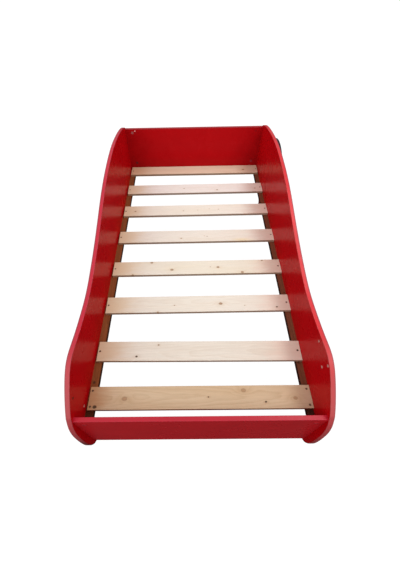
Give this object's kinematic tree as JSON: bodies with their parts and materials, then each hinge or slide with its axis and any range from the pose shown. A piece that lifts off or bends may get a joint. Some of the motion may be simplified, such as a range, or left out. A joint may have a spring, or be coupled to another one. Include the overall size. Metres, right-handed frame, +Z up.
{
  "type": "child's car bed",
  "caption": "Child's bed shaped like a car: two curved side panels with wheel discs, headboard, low footboard, wooden rails and screwed slats for a mattress.",
  "frame": {"origin": "middle of the bed's footprint, at floor level", "axes": "+Z up; +Y along the bed from the foot end (bonnet) to the head end; +X to the right seen from the foot end"},
  "size_m": [0.888, 1.6843, 0.5162],
  "materials": {
    "red_board": "satin red faced board",
    "red_edging": "satin red edging strip",
    "screw_steel": "zinc plated, dulled",
    "slat_pine": "planed unvarnished softwood",
    "rail_wood": "brown stained softwood",
    "zinc_fitting": "die-cast, dull",
    "dowel_beech": "plain",
    "cover_plastic": "matt",
    "plug_plastic": "matt",
    "tyre_black": "satin black",
    "rim_silver": "silver paint, semi-gloss",
    "hub_grey": "gloss",
    "glide_plastic": "matt"
  },
  "bodies": {
    "root": {"edge_band_left": "red_edging", "edge_band_right": "red_edging", "floor_glides_left": "glide_plastic", "floor_glides_right": "glide_plastic", "footboard": "red_board", "footboard_cam_bolts": "zinc_fitting", "footboard_cam_covers": "cover_plastic", "footboard_cam_locks": "zinc_fitting", "footboard_dowels": "dowel_beech", "footboard_edge_band": "red_edging", "headboard": "red_board", "headboard_cam_bolts": "zinc_fitting", "headboard_cam_locks": "zinc_fitting", "headboard_dowels": "dowel_beech", "headboard_edge_band": "red_edging", "headboard_plug": "plug_plastic", "hole_plugs_left": "plug_plastic", "hole_plugs_right": "plug_plastic", "rail_left": "rail_wood", "rail_right": "rail_wood", "rail_screws_left": "screw_steel", "rail_screws_right": "screw_steel", "side_panel_left": "red_board", "side_panel_right": "red_board", "slat_1": "slat_pine", "slat_2": "slat_pine", "slat_3": "slat_pine", "slat_4": "slat_pine", "slat_5": "slat_pine", "slat_6": "slat_pine", "slat_7": "slat_pine", "slat_8": "slat_pine", "slat_screws_left": "screw_steel", "slat_screws_right": "screw_steel", "wheel_hub_cap_front_left": "hub_grey", "wheel_hub_cap_front_right": "hub_grey", "wheel_hub_cap_rear_left": "hub_grey", "wheel_hub_cap_rear_right": "hub_grey", "wheel_rim_front_left": "rim_silver", "wheel_rim_front_right": "rim_silver", "wheel_rim_rear_left": "rim_silver", "wheel_rim_rear_right": "rim_silver", "wheel_screws_left": "screw_steel", "wheel_screws_right": "screw_steel", "wheel_tyre_front_left": "tyre_black", "wheel_tyre_front_right": "tyre_black", "wheel_tyre_rear_left": "tyre_black", "wheel_tyre_rear_right": "tyre_black"}
  },
  "joints": []
}
